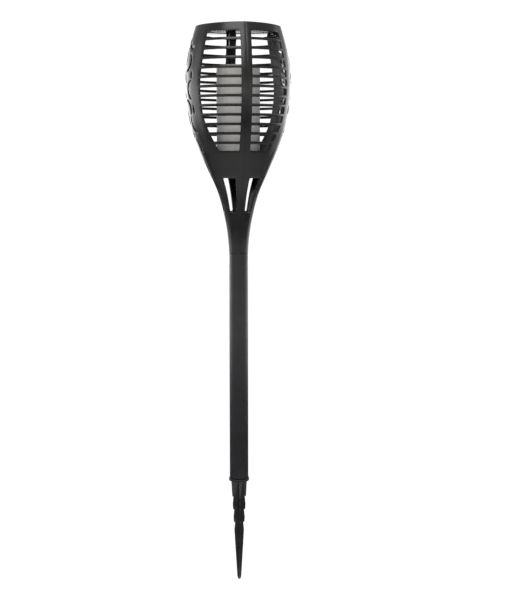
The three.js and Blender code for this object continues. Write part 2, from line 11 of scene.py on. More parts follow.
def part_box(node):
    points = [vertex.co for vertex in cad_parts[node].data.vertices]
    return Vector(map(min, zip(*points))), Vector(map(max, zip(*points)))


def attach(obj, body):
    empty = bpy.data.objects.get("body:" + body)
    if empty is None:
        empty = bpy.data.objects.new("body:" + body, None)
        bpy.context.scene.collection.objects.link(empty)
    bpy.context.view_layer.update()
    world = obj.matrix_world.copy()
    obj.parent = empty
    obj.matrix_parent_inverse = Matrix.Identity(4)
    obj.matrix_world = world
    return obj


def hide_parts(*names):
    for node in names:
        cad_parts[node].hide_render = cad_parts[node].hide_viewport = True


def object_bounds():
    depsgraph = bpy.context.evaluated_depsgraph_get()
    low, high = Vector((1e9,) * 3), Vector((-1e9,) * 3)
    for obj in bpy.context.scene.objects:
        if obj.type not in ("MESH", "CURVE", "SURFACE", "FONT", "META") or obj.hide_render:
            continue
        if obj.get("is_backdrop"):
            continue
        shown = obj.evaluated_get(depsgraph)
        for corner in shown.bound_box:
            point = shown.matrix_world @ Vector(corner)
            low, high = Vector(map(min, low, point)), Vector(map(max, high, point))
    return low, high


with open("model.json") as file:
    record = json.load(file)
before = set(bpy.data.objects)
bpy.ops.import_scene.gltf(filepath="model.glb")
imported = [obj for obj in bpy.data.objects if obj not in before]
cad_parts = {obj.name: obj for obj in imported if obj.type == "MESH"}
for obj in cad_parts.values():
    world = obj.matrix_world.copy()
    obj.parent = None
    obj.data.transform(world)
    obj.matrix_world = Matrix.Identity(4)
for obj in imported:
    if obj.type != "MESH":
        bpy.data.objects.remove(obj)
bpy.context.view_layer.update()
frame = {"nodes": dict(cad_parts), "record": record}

MM = 0.001  # every size below is in millimetres unless its comment says otherwise

# ------------------------------------------------------------------ the lantern's shape

CAGE_WALL = 2.2
CAGE_OUTLINE = [  # outer radius, height above the shoulder that rests on the pole
    (11, 0), (12.4, 18.4), (15.7, 39.4), (23, 67.4), (34.5, 94.4),
    (46, 121.4), (55.3, 150.4), (60, 190.4), (56.4, 224.4), (48, 254.4),
]
RIM_TOP = CAGE_OUTLINE[-1][1]
SPIGOT = {"radius": 9.3, "bore": 7.3, "length": 25.6}
SHOULDER_BAND = 0.8  # stretch of the flat pattern that makes the shoulder's step
REFERENCE_RADIUS = 60  # the flat pattern is as wide as the wall is at this radius
SEAM_HALF_GAP = 0.005
EDGE_ROUNDING = 0.42
SEAM_ROUNDING = 0.18  # along the seam and the rim
RIDGE = {"height": 0.6, "half_width": 15, "starts": 25, "full": 95}
RIM_PEAK = {"height": 0.7, "half_width": 40, "reach": 9}  # the rim's rise at the front and back ribs

SLAT = {"rows": 13, "first_top": 245.7, "pitch": 10.15, "opening": 7.15, "corner": 0.9}
RIB_HALF_WIDTH = 6
WINDOW_EDGE = [  # reach of a slat window from the middle of its rib, height
    (30, 116.4), (45, 138.4), (54, 158.4), (57.5, 190.4), (50.5, 228.4), (46, 245.4),
]
LEG_SLOT = {"bottom": 47.9, "top": 86.4, "half_angle": math.radians(15), "corner": 2.4}

# scroll openings: across the panel, height, length, width, tilt and turn in degrees.
# One off the middle line has a mirrored twin.
SCROLLS = [
    (0, 238.5, 6, 6, 0, 0),
    (12, 234, 25, 4.4, 62, 150),
    (0, 221, 21, 7, 0, 0),
    (13.5, 213, 28, 4.2, -18, -165),
    (21.5, 200, 9, 4, 4, 0),
    (4.5, 199, 16, 4.4, 14, 60),
    (17, 184, 30, 4.4, -6, 165),
    (0, 178.5, 7, 7, 0, 0),
    (10, 166, 26, 4.4, 32, -150),
    (21.5, 162, 10, 4, -8, 0),
    (0, 154, 19, 6.5, 0, 0),
    (13, 145, 24, 4.2, 22, 140),
    (0, 134.5, 6.5, 6.5, 0, 0),
    (8, 123, 20, 4, 14, -120),
    (0, 99.5, 17, 9, 0, 0),
]
SCROLL_STEPS = 12
SCROLL_LEAN = 0.8  # under 1 puts a stroke's widest place nearer its start
SCROLL_FULLNESS = 0.75  # under 1 makes its ends blunter

CAP_LEDGE = {"bottom": 245.7, "top": 247.7, "inner": 43.2}
TRAY_LEDGE = {"bottom": 101.9, "top": 104.4, "inner": 28.5}
BOSS = {"circle": 31.5, "radius": 3, "bore": 1.5, "length": 8, "azimuths": (45, 135)}
CLIP = {"heights": (200, 165, 135), "reach": 3.4, "thick": 0.8, "height": 4, "gap": 0.3}
LEDGE_BITE = 0.5  # how far a ledge reaches into the wall that carries it
CLIP_BITE = 1
DRILL_EXTRA = 1  # how far a hole's tool stands out past its screw at each end

# ------------------------------------------------------------------ the other pieces' shapes

POLE_WALL = 1.4

SPIKE = {
    "flange_radius": 12, "flange_thick": 3, "recess": 0.6, "lip": 0.9, "plug_radius": 9.1,
    "disc_thick": 1.8, "disc_heights": (11, 23.2), "rib_half": 1.1, "rib_inset": 0.1,
    "half_top": 9.3, "half_tip": 2.4, "half_end": 1.15, "length": 124, "tip": 6,
    "tip_shares": (0.35, 0.65, 0.85, 1), "tip_bluntness": 0.8, "fin_half_top": 1.5,
    "fin_half_tip": 1.0, "barbs": (20, 36, 52), "barb_depth": 1.5, "barb_run": 10,
}

DIFFUSER = {"radius": 24.6, "wall": 1.6}
LUG = {"inner": 23.8, "outer": 26.3, "bottom": 0.5, "top": 2.5, "half_angle": 8, "azimuths": (30, 150, 270)}
LID = {"skirt": 22.6, "skirt_wall": 1.8, "hole": 4.4, "thick": 2}
BUTTON = {
    "stem": 1.5, "flange": 6.5, "flange_thick": 2, "head": 4, "head_height": 3.5,
    "dish": 2.6, "dish_foot": 2.2, "dish_depth": 0.4,
}
CAP = {
    "seat": 38.6, "floor_bottom": 0.6, "floor_top": 1.8, "edge": 1, "edge_radius": 0.8,
    "bevel": 0.6, "bevel_radius": 0.3,
}
CAP_HOLES = {"cap_screw": (3, 1.2), "contact_pin": (2, 1.1)}  # count, radius
CAP_BASE = {"rim": 6, "rim_slope": 0.6, "rim_step": 0.25}
PANEL_DISCS = {"panel_glass": ("panel_cover", 0.4), "panel_board": ("panel_backing", 0.15)}  # name, rounding


# ------------------------------------------------------------------ materials

FLOW_SCALE = 28  # marks per metre, as for every texture scale here
GLOSS_SCALE = 75
GRAIN_SCALE = 2600
GRAIN_DEPTH = 0.00008  # metres, as for every bump distance here


def node(tree, kind, **settings):
    made = tree.nodes.new(kind)
    for key, value in settings.items():
        if key in made.inputs:
            made.inputs[key].default_value = value
        else:
            setattr(made, key, value)
    return made


def principled(name, **sockets):
    """A material with constant values on its shader's own sockets, and that shader."""
    material = bpy.data.materials.new(name)
    material.use_nodes = True
    shader = material.node_tree.nodes["Principled BSDF"]
    for key, value in sockets.items():
        shader.inputs[key.replace("_", " ")].default_value = value
    return material, material.node_tree, shader


def noise(tree, coordinates, scale, detail=2.0, roughness=0.5):
    made = node(tree, "ShaderNodeTexNoise", Scale=scale, Detail=detail, Roughness=roughness)
    tree.links.new(coordinates, made.inputs["Vector"])
    return made.outputs["Fac"]


def ramp(tree, factor, low, high, start=0.3, end=0.7):
    """Colours or greys between two values as factor goes from start to end."""
    made = tree.nodes.new("ShaderNodeValToRGB")
    for element, position, value in zip(made.color_ramp.elements, (start, end), (low, high)):
        element.position = position
        element.color = value if isinstance(value, tuple) else (value, value, value, 1)
    tree.links.new(factor, made.inputs["Fac"])
    return made.outputs["Color"]


def ranged(tree, value, low, high, to_low=0.0, to_high=1.0, easing="SMOOTHSTEP"):
    """The value taken from one range to another."""
    made = node(tree, "ShaderNodeMapRange", interpolation_type=easing)
    for key, number in (("From Min", low), ("From Max", high), ("To Min", to_low), ("To Max", to_high)):
        made.inputs[key].default_value = number
    tree.links.new(value, made.inputs["Value"])
    return made.outputs["Result"]


def blended(tree, factor, first, second):
    """Between two values, of which the second may be a plain number."""
    made = node(tree, "ShaderNodeMix", data_type="FLOAT")
    tree.links.new(factor, made.inputs["Factor"])
    tree.links.new(first, made.inputs["A"])
    if isinstance(second, (int, float)):
        made.inputs["B"].default_value = second
    else:
        tree.links.new(second, made.inputs["B"])
    return made.outputs["Result"]


def multiplied(tree, first, *others):
    """The product of several values."""
    product = first
    for other in others:
        made = node(tree, "ShaderNodeMath", operation="MULTIPLY")
        tree.links.new(product, made.inputs[0])
        tree.links.new(other, made.inputs[1])
        product = made.outputs[0]
    return product


def add_bump(tree, shader, height, strength, distance):
    made = node(tree, "ShaderNodeBump", Strength=strength, Distance=distance)
    tree.links.new(height, made.inputs["Height"])
    tree.links.new(made.outputs["Normal"], shader.inputs["Normal"])


def moulded(name, dark, light, smooth, rough, grain=0.18, **sockets):
    """Injection-moulded plastic: fine spark grain, soft flow marks, and uneven gloss."""
    material, tree, shader = principled(name, **sockets)
    place = tree.nodes.new("ShaderNodeTexCoord").outputs["Object"]
    flow = noise(tree, place, FLOW_SCALE, detail=3)
    tree.links.new(ramp(tree, flow, dark, light), shader.inputs["Base Color"])
    tree.links.new(ramp(tree, noise(tree, place, GLOSS_SCALE), smooth, rough), shader.inputs["Roughness"])
    add_bump(tree, shader, noise(tree, place, GRAIN_SCALE, detail=1), grain, GRAIN_DEPTH)
    return material


def grey(value, warmth=0.0):
    return (value * (1 + warmth), value, value * (1 - warmth), 1)


def panel_cells(name):
    """Dark blue cells with fine silver fingers and wider busbars."""
    material, tree, shader = principled(name, IOR=1.5)
    place = tree.nodes.new("ShaderNodeTexCoord").outputs["Object"]
    base = ramp(tree, noise(tree, place, scale=120), (0.006, 0.012, 0.04, 1), (0.012, 0.022, 0.07, 1))
    for scale, direction, share in ((160, "X", 0.07), (24, "Y", 0.045)):
        bars = node(tree, "ShaderNodeTexWave", Scale=scale, wave_profile="TRI", bands_direction=direction)
        tree.links.new(place, bars.inputs["Vector"])
        mask = ramp(tree, bars.outputs["Fac"], 1.0, 0.0, share, share + 0.03)
        mix = node(tree, "ShaderNodeMix", data_type="RGBA")
        tree.links.new(mask, mix.inputs["Factor"])
        tree.links.new(base, mix.inputs["A"])
        mix.inputs["B"].default_value = (0.42, 0.43, 0.45, 1)
        base = mix.outputs["Result"]
    tree.links.new(base, shader.inputs["Base Color"])
    tree.links.new(ramp(tree, noise(tree, place, scale=60), 0.18, 0.3), shader.inputs["Roughness"])
    return material


def circuit_board(name):
    """Green lacquer over faint copper tracks."""
    material, tree, shader = principled(name, IOR=1.5)
    place = tree.nodes.new("ShaderNodeTexCoord").outputs["Object"]
    tracks = node(tree, "ShaderNodeTexBrick", Scale=220)
    tree.links.new(place, tracks.inputs["Vector"])
    tracks.inputs["Color1"].default_value = (0.012, 0.07, 0.026, 1)
    tracks.inputs["Color2"].default_value = (0.014, 0.085, 0.03, 1)
    tracks.inputs["Mortar"].default_value = (0.03, 0.13, 0.05, 1)
    tree.links.new(tracks.outputs["Color"], shader.inputs["Base Color"])
    tree.links.new(ramp(tree, noise(tree, place, scale=90), 0.3, 0.42), shader.inputs["Roughness"])
    add_bump(tree, shader, tracks.outputs["Fac"], 0.3, 0.00005)
    return material


def plated_steel(name):
    material, tree, shader = principled(name, Metallic=1.0)
    place = tree.nodes.new("ShaderNodeTexCoord").outputs["Object"]
    tone = noise(tree, place, scale=180)
    tree.links.new(ramp(tree, tone, grey(0.5), grey(0.66, 0.02)), shader.inputs["Base Color"])
    tree.links.new(ramp(tree, noise(tree, place, scale=500), 0.18, 0.36), shader.inputs["Roughness"])
    return material


def clear_cover(name):
    material, tree, shader = principled(name, IOR=1.49, Transmission_Weight=1.0)
    place = tree.nodes.new("ShaderNodeTexCoord").outputs["Object"]
    tone = noise(tree, place, scale=40)
    tree.links.new(ramp(tree, tone, (0.9, 0.94, 0.95, 1), (0.96, 0.98, 0.98, 1)), shader.inputs["Base Color"])
    tree.links.new(ramp(tree, noise(tree, place, scale=90), 0.03, 0.09), shader.inputs["Roughness"])
    return material


def frosted(name):
    """Frosted diffuser: cool grey at its foot, a little warmer and darker towards its top; the darkening is
    painted shade.
    """
    low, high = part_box("diffuser")
    material, tree, shader = principled(name, IOR=1.45, Subsurface_Weight=0.15, Subsurface_Scale=0.002)
    place = tree.nodes.new("ShaderNodeTexCoord").outputs["Object"]
    height = tree.nodes.new("ShaderNodeSeparateXYZ")
    tree.links.new(place, height.inputs["Vector"])
    share = ranged(tree, height.outputs["Z"], low.z, high.z, easing="LINEAR")
    # painted shade: the colour darkens with height up the tube, mixed with a faint noise cloud
    cloud_and_shade = node(tree, "ShaderNodeMath", operation="MULTIPLY_ADD")
    tree.links.new(noise(tree, place, scale=45, detail=3), cloud_and_shade.inputs[0])
    cloud_and_shade.inputs[1].default_value = 0.2
    tree.links.new(share, cloud_and_shade.inputs[2])
    tint_and_shade = ramp(tree, cloud_and_shade.outputs[0], (0.72, 0.71, 0.71, 1), (0.68, 0.645, 0.62, 1), 0.05, 1.0)
    tree.links.new(tint_and_shade, shader.inputs["Base Color"])
    tree.links.new(ramp(tree, noise(tree, place, scale=300), 0.45, 0.6), shader.inputs["Roughness"])
    add_bump(tree, shader, noise(tree, place, scale=1500), 0.2, 0.0001)
    return material


MATERIALS = {
    "black_plastic": moulded("black_plastic", grey(0.005), grey(0.0075, -0.03), 0.24, 0.33),
    "pole_plastic": moulded("pole_plastic", (0.006, 0.0055, 0.007, 1), (0.009, 0.008, 0.0105, 1), 0.3, 0.38),
    "gloss_black": moulded(
        "gloss_black", grey(0.004), grey(0.006), 0.05, 0.1, grain=0.03, Specular_IOR_Level=0.22
    ),
    "dark_plastic": moulded("dark_plastic", grey(0.016), grey(0.023), 0.42, 0.54, grain=0.3),
    "white_plastic": moulded("white_plastic", grey(0.62, 0.02), grey(0.7, 0.03), 0.4, 0.5),
    "led_strip": moulded("led_strip", (0.6, 0.5, 0.3, 1), (0.72, 0.62, 0.4, 1), 0.3, 0.45),
    "battery_wrap": moulded(
        "battery_wrap", (0.02, 0.12, 0.16, 1), (0.03, 0.17, 0.21, 1), 0.18, 0.28, grain=0.05
    ),
    "lead_jacket": moulded("lead_jacket", grey(0.008), grey(0.013), 0.5, 0.62, grain=0.4),
    "frosted_plastic": frosted("frosted_plastic"),
    "circuit_board": circuit_board("circuit_board"),
    "solar_cell": panel_cells("solar_cell"),
    "panel_glass": clear_cover("panel_glass"),
    "steel": plated_steel("steel"),
}
SLOT_OF = {row["node"]: row["material_slot"] for row in frame["record"]["subparts"]}
BODY_OF = {
    name: body for body, names in frame["record"]["behaviour"]["bodies"].items() for name in names
}


# ------------------------------------------------------------------ mesh helpers

def finish_piece(piece, replaced):
    """Puts a finished piece in the place of a CAD node, with that node's body, slot and material."""
    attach(piece, BODY_OF[replaced])
    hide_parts(replaced)
    piece.data.materials.clear()
    piece.data.materials.append(MATERIALS[SLOT_OF[replaced]])
    return piece


def smooth_piece(piece, sharp_degrees=38):
    piece.data.shade_smooth()
    piece.data.set_sharp_from_angle(angle=math.radians(sharp_degrees))
    return piece


def new_piece(name, vertices, faces):
    """A mesh object from points in millimetres, smooth except at sharp edges."""
    mesh = bpy.data.meshes.new(name)
    mesh.from_pydata([tuple(float(c) * MM for c in point) for point in vertices], [], faces)
    mesh.validate()
    piece = bpy.data.objects.new(name, mesh)
    bpy.context.scene.collection.objects.link(piece)
    return smooth_piece(piece)


def apply_modifiers(piece):
    evaluated = piece.evaluated_get(bpy.context.evaluated_depsgraph_get())
    mesh = bpy.data.meshes.new_from_object(evaluated)
    piece.modifiers.clear()
    piece.data = mesh
    return piece


def add_bevel(piece, width, degrees=40, segments=2):
    bevel = piece.modifiers.new("rounding", "BEVEL")
    bevel.width = width * MM
    bevel.segments = segments
    bevel.limit_method = "ANGLE"
    bevel.angle_limit = math.radians(degrees)
    bevel.harden_normals = False


def fillet(corners, radius, closed, arc_steps=3):
    """The corners, each (x, y) or (x, y, its own radius), joined with rounded corners."""
    points = []
    count = len(corners)
    for i, corner in enumerate(corners):
        here = Vector(corner[:2])
        own = corner[2] if len(corner) > 2 else radius
        if own == 0 or (not closed and i in (0, count - 1)):
            points.append(tuple(here))
            continue
        before = Vector(corners[i - 1][:2]) - here
        after = Vector(corners[(i + 1) % count][:2]) - here
        reach = min(own, 0.45 * before.length, 0.45 * after.length)
        start = here + before.normalized() * reach
        end = here + after.normalized() * reach
        for step in range(arc_steps + 1):
            t = step / arc_steps
            points.append(tuple((1 - t) ** 2 * start + 2 * t * (1 - t) * here + t * t * end))
    return points


def turned(profile, radius=0.4, sides=96, start=0.0, sweep=2 * math.pi):
    """Vertices and faces of a profile of (radius, height) corners turned about Z.

    A profile that starts and ends on the axis is left open there; any other closes on itself."""
    on_axis = profile[0][0] == 0
    outline = fillet(profile, radius, closed=not on_axis)
    full = abs(sweep - 2 * math.pi) < 1e-9
    columns = sides if full else sides + 1
    vertices, rings = [], []
    for across, height in outline:
        if across < 1e-6:
            rings.append([len(vertices)] * columns)
            vertices.append((0, 0, height))
            continue
        rings.append(list(range(len(vertices), len(vertices) + columns)))
        for column in range(columns):
            angle = start + sweep * column / sides
            vertices.append((across * math.sin(angle), -across * math.cos(angle), height))
    faces = []
    pairs = list(zip(rings, rings[1:])) + ([] if on_axis else [(rings[-1], rings[0])])
    for low, high in pairs:
        for column in range(sides):
            following = (column + 1) % columns
            face = [low[column], low[following], high[following], high[column]]
            faces.append(list(dict.fromkeys(face)))
    if not full:
        faces += [[ring[0] for ring in rings][::-1], [ring[-1] for ring in rings]]
    return vertices, faces


def merged(*parts):
    """Several (vertices, faces) as one."""
    vertices, faces = [], []
    for more_vertices, more_faces in parts:
        offset = len(vertices)
        vertices += list(more_vertices)
        faces += [[index + offset for index in face] for face in more_faces]
    return vertices, faces


def lifted(part, height, x=0.0, y=0.0):
    vertices, faces = part
    return [(px + x, py + y, pz + height) for px, py, pz in vertices], faces


def block(low, high):
    x, y, z = zip(low, high)
    vertices = [(x[i], y[j], z[k]) for k in (0, 1) for j in (0, 1) for i in (0, 1)]
    faces = [[0, 2, 3, 1], [4, 5, 7, 6], [0, 1, 5, 4], [2, 6, 7, 3], [0, 4, 6, 2], [1, 3, 7, 5]]
    return vertices, faces


def boolean(part, tools, operation):
    """The part, as vertices and faces, joined with others or cut by them."""
    main = new_piece("boolean_main", *part)
    for i, tool in enumerate(tools):
        modifier = main.modifiers.new(f"tool_{i}", "BOOLEAN")
        modifier.operation = operation
        modifier.solver = "EXACT"
        modifier.object = new_piece(f"boolean_tool_{i}", *tool)
    others = [modifier.object for modifier in main.modifiers]
    apply_modifiers(main)
    vertices = [tuple(vertex.co / MM) for vertex in main.data.vertices]
    faces = [tuple(face.vertices) for face in main.data.polygons]
    for piece in [main, *others]:
        bpy.data.objects.remove(piece)
    return vertices, faces


def rod_through(name, radius):
    """A cylinder round a CAD screw or pin, a little longer at both ends, to drill its hole with."""
    low, high = (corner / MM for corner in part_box(name))
    bottom, top = low.z - DRILL_EXTRA, high.z + DRILL_EXTRA
    profile = [(0, bottom), (radius, bottom), (radius, top), (0, top)]
    return lifted(turned(profile, 0, 24), 0, (low.x + high.x) / 2, (low.y + high.y) / 2)


def turned_piece(name, profile, replaced, radius=0.4, sides=96, holes=()):
    """A turned piece whose profile's heights count up from the bottom of the CAD node that it replaces."""
    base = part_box(replaced)[0].z / MM
    shape = lifted(turned(profile, radius, sides), base)
    if holes:
        shape = boolean(shape, holes, "DIFFERENCE")
    return finish_piece(new_piece(name, *shape), replaced)


def refined(name, source, width=0.2, smooth_levels=0):
    """A finer copy of a CAD node: flat facets merged, and edges rounded or the whole thing subdivided."""
    mesh = frame["nodes"][source].data.copy()
    piece = bpy.data.objects.new(name, mesh)
    bpy.context.scene.collection.objects.link(piece)
    shape = bmesh.new()
    shape.from_mesh(mesh)
    bmesh.ops.remove_doubles(shape, verts=shape.verts, dist=0.00001)
    if smooth_levels:
        bmesh.ops.join_triangles(
            shape, faces=shape.faces, angle_face_threshold=3.0, angle_shape_threshold=3.0
        )
    else:
        bmesh.ops.dissolve_limit(
            shape, angle_limit=math.radians(1), verts=shape.verts, edges=shape.edges
        )
    shape.to_mesh(mesh)
    shape.free()
    if smooth_levels:
        subdivision = piece.modifiers.new("smoothing", "SUBSURF")
        subdivision.levels = smooth_levels
    else:
        add_bevel(piece, width, degrees=35)
    apply_modifiers(piece)
    smooth_piece(piece)
    return finish_piece(piece, source)


# ------------------------------------------------------------------ lantern cage

def spline(points, samples=240):
    """Points on the curve through the given ones, with the same rule as the CAD outline's."""
    ends = [points[0], *points, points[-1]]
    made = []
    for i in range(samples + 1):
        whole = (len(points) - 1) * i / samples
        first = min(int(whole), len(points) - 2)
        t = whole - first
        p0, p1, p2, p3 = (np.array(p, float) for p in ends[first:first + 4])
        v0, v1 = (p2 - p0) / 2, (p3 - p1) / 2
        made.append((2 * p1 - 2 * p2 + v0 + v1) * t**3 + (3 * p2 - 3 * p1 - 2 * v0 - v1) * t**2 + v0 * t + p1)
    return np.array(made)


OUTLINE = spline(CAGE_OUTLINE)
WINDOW = spline(WINDOW_EDGE)


def wall_radius(height):
    return np.interp(height, OUTLINE[:, 1], OUTLINE[:, 0])


def window_edge(height):
    return np.interp(height, WINDOW[:, 1], WINDOW[:, 0])


def smooth_step(value, start, end):
    t = np.clip((value - start) / (end - start), 0, 1)
    return t * t * (3 - 2 * t)


class Wall:
    """Maps the flat pattern to the curved wall of the right half.

    In the pattern, x runs from the front rib's seam to the back rib's, and y is the height, with the
    spigot below zero and the shoulder's step in a narrow band under zero."""

    width = REFERENCE_RADIUS * math.pi

    def __init__(self, shoulder):
        self.shoulder = shoulder

    @staticmethod
    def radii(y):
        """Outer and inner radius."""
        step = np.clip(-y / SHOULDER_BAND, 0, 1)
        outer = wall_radius(y) * (1 - step) + SPIGOT["radius"] * step
        inner = (wall_radius(y) - CAGE_WALL) * (1 - step) + SPIGOT["bore"] * step
        return outer, inner

    def place(self, flat, depth):
        """Points at a depth below the outer surface, as rows of x, y, z."""
        x, y = flat[:, 0], flat[:, 1]
        outer, inner = self.radii(y)
        from_rib = np.minimum(x, self.width - x) / REFERENCE_RADIUS * outer
        fade = smooth_step(y, RIDGE["starts"], RIDGE["full"])
        ridge = RIDGE["height"] * fade * np.clip(1 - from_rib / RIDGE["half_width"], 0, 1)
        radius = outer + (inner - outer) * depth / CAGE_WALL + ridge
        margin = SEAM_HALF_GAP / radius
        azimuth = margin + (math.pi - 2 * margin) * x / self.width
        height = np.where(y > 0, y, np.minimum(y + SHOULDER_BAND, 0))
        peak_fade = smooth_step(y, RIM_TOP - RIM_PEAK["reach"], RIM_TOP)
        peak = RIM_PEAK["height"] * np.clip(1 - from_rib / RIM_PEAK["half_width"], 0, 1) * peak_fade
        return np.stack(
            [radius * np.sin(azimuth), -radius * np.cos(azimuth), height + peak + self.shoulder], axis=1
        )

    def stretch(self, y):
        """True length per unit of pattern, across and up."""
        outer, _ = self.radii(y)
        slope = (wall_radius(y + 1) - wall_radius(y - 1)) / 2
        return outer / REFERENCE_RADIUS, np.sqrt(1 + slope**2)


def divided(corners, step):
    """A closed outline with its long edges cut into steps."""
    points = []
    for start, end in zip(corners, corners[1:] + corners[:1]):
        count = max(1, round(math.dist(start, end) / step))
        points += [tuple(np.add(start, np.subtract(end, start) * i / count)) for i in range(count)]
    return points


def slat_gaps():
    gaps = []
    for row in range(SLAT["rows"]):
        top = SLAT["first_top"] - row * SLAT["pitch"]
        bottom = top - SLAT["opening"]
        corners = [
            (RIB_HALF_WIDTH, bottom), (RIB_HALF_WIDTH, top),
            (window_edge(top), top), (window_edge(bottom), bottom),
        ]
        outline = divided(fillet(corners, SLAT["corner"], closed=True), step=2.2)
        front = np.array([(x * REFERENCE_RADIUS / wall_radius(y), y) for x, y in outline])
        back = front * (-1, 1) + (Wall.width, 0)
        gaps += [front, back[::-1]]
    return gaps


def leg_slots():
    half = LEG_SLOT["half_angle"] * REFERENCE_RADIUS
    slots = []
    for degrees in (30, 90, 150):
        middle = math.radians(degrees) * REFERENCE_RADIUS
        corners = [
            (middle - half, LEG_SLOT["bottom"]), (middle - half, LEG_SLOT["top"]),
            (middle + half, LEG_SLOT["top"]), (middle + half, LEG_SLOT["bottom"]),
        ]
        slots.append(np.array(divided(fillet(corners, LEG_SLOT["corner"], closed=True), step=2.5)))
    return slots


def stroke(length, width, turn):
    """A pointed stroke about the origin along +Y, bent through an angle like a brush curl."""
    spine, heading = [np.zeros(2)], []
    for i in range(SCROLL_STEPS + 1):
        heading.append(turn * (i / SCROLL_STEPS - 0.5))
    for i in range(SCROLL_STEPS):
        angle = (heading[i] + heading[i + 1]) / 2
        spine.append(spine[-1] + length / SCROLL_STEPS * np.array([math.sin(angle), math.cos(angle)]))
    spine = np.array(spine)
    spine -= (spine.min(0) + spine.max(0)) / 2
    share = np.linspace(0, 1, SCROLL_STEPS + 1)
    swell = width / 2 * np.sin(math.pi * share ** SCROLL_LEAN) ** SCROLL_FULLNESS
    side = np.stack([np.cos(heading), -np.sin(heading)], axis=1) * swell[:, None]
    right = (spine + side)[1:-1]
    left = (spine - side)[1:-1]
    return np.concatenate([spine[:1], left, spine[-1:], right[::-1]])


def scroll_openings():
    openings = []
    for across, height, length, width, tilt, turn in SCROLLS:
        outline = stroke(length, width, math.radians(turn))
        angle = math.radians(tilt)
        spun = outline @ np.array([[math.cos(angle), math.sin(angle)], [-math.sin(angle), math.cos(angle)]])
        placed = spun + (across, height)
        for twin in [placed] if across == 0 else [placed, (placed * (-1, 1))[::-1]]:
            x = Wall.width / 2 + twin[:, 0] * REFERENCE_RADIUS / wall_radius(twin[:, 1])
            openings.append(np.stack([x, twin[:, 1]], axis=1))
    return openings


def signed_area(loop):
    x, y = loop[:, 0], loop[:, 1]
    return 0.5 * np.sum(x * np.roll(y, -1) - np.roll(x, -1) * y)


SHARPEST_MITER = 0.6  # keeps a pointed corner from shooting far out


def grown(wall, loop, distance):
    """The loop moved to its left, into the material, by a true distance on the wall."""
    across, up = wall.stretch(loop[:, 1])
    stretch = np.stack([across, up], axis=1)
    ahead = (np.roll(loop, -1, axis=0) - loop) * stretch
    behind = (loop - np.roll(loop, 1, axis=0)) * stretch
    ahead /= np.linalg.norm(ahead, axis=1, keepdims=True)
    behind /= np.linalg.norm(behind, axis=1, keepdims=True)
    normal = np.stack([-(ahead + behind)[:, 1], (ahead + behind)[:, 0]], axis=1)
    normal /= np.linalg.norm(normal, axis=1, keepdims=True)
    left = np.stack([-ahead[:, 1], ahead[:, 0]], axis=1)
    miter = 1 / np.maximum(SHARPEST_MITER, np.sum(normal * left, axis=1))
    return loop + normal * (miter * distance)[:, None] / stretch


def inside(points, loops):
    """Which points lie inside an odd number of loops."""
    crossings = np.zeros(len(points), int)
    for loop in loops:
        start, end = loop, np.roll(loop, -1, axis=0)
        for (x0, y0), (x1, y1) in zip(start, end):
            between = (points[:, 1] >= min(y0, y1)) & (points[:, 1] < max(y0, y1))
            if y0 == y1 or not between.any():
                continue
            cross = x0 + (points[between, 1] - y0) * (x1 - x0) / (y1 - y0)
            crossings[np.flatnonzero(between)[cross > points[between, 0]]] += 1
    return crossings % 2 == 1


def pattern_loops():
    """The flat pattern: its outline anticlockwise, then every opening clockwise."""
    bottom = -SPIGOT["length"] - SHOULDER_BAND
    levels = [bottom, -SHOULDER_BAND, 0, RIM_TOP]
    corners = [(Wall.width, y) for y in levels] + [(0, y) for y in levels[::-1]]
    outline = np.array(divided(corners, step=2.6))
    holes = slat_gaps() + leg_slots() + scroll_openings()
    return [outline] + [hole if signed_area(hole) < 0 else hole[::-1] for hole in holes]


SHOULDER_CLEARANCE = 2  # keeps the spigot's filling points off the shoulder's step


def filling_points(loops, bottom, step=3.0, clearance=1.3):
    """A grid of points in the material, kept off the loops' own points."""
    across = np.linspace(0, Wall.width, int(Wall.width / step) + 1)[1:-1]
    spigot_levels = np.arange(bottom + step, -SHOULDER_CLEARANCE, step)
    wall_levels = np.arange(step, RIM_TOP, step)
    up = np.concatenate([spigot_levels, [-SHOULDER_BAND, 0], wall_levels])
    grid = np.array([(x, y) for y in up for x in across])
    edge_points = np.concatenate(loops)
    keep = inside(grid, loops)
    for i in np.flatnonzero(keep):
        if np.min(np.sum((edge_points - grid[i]) ** 2, axis=1)) < clearance**2:
            keep[i] = False
    return grid[keep]


def triangulated(loops, filling):
    """Triangles over the material. The points are the loops' in order, then the filling."""
    points = np.concatenate([*loops, filling])
    edges, offset = [], 0
    for loop in loops:
        count = len(loop)
        edges += [(offset + i, offset + (i + 1) % count) for i in range(count)]
        offset += count
    made = delaunay_2d_cdt([Vector(p) for p in points], edges, [], 0, 1e-7)
    origin = [ids[0] if ids else None for ids in made[3]]
    triangles = np.array([[origin[i] for i in face] for face in made[2]])
    centres = points[triangles].mean(axis=1)
    triangles = triangles[inside(centres, loops)]
    a, b, c = (points[triangles[:, i]] for i in range(3))
    clockwise = np.cross(b - a, c - a) < 0
    triangles[clockwise] = triangles[clockwise][:, ::-1]
    return points, triangles


def edge_levels(rounding):
    """The rounded edge strip's rings, as how far into the material and how deep, without the skins' own."""
    angles = (math.radians(35), math.radians(90))
    outer = [(rounding * (1 - math.sin(angle)), rounding * (1 - math.cos(angle))) for angle in angles]
    return outer + [(offset, CAGE_WALL - depth) for offset, depth in reversed(outer)]


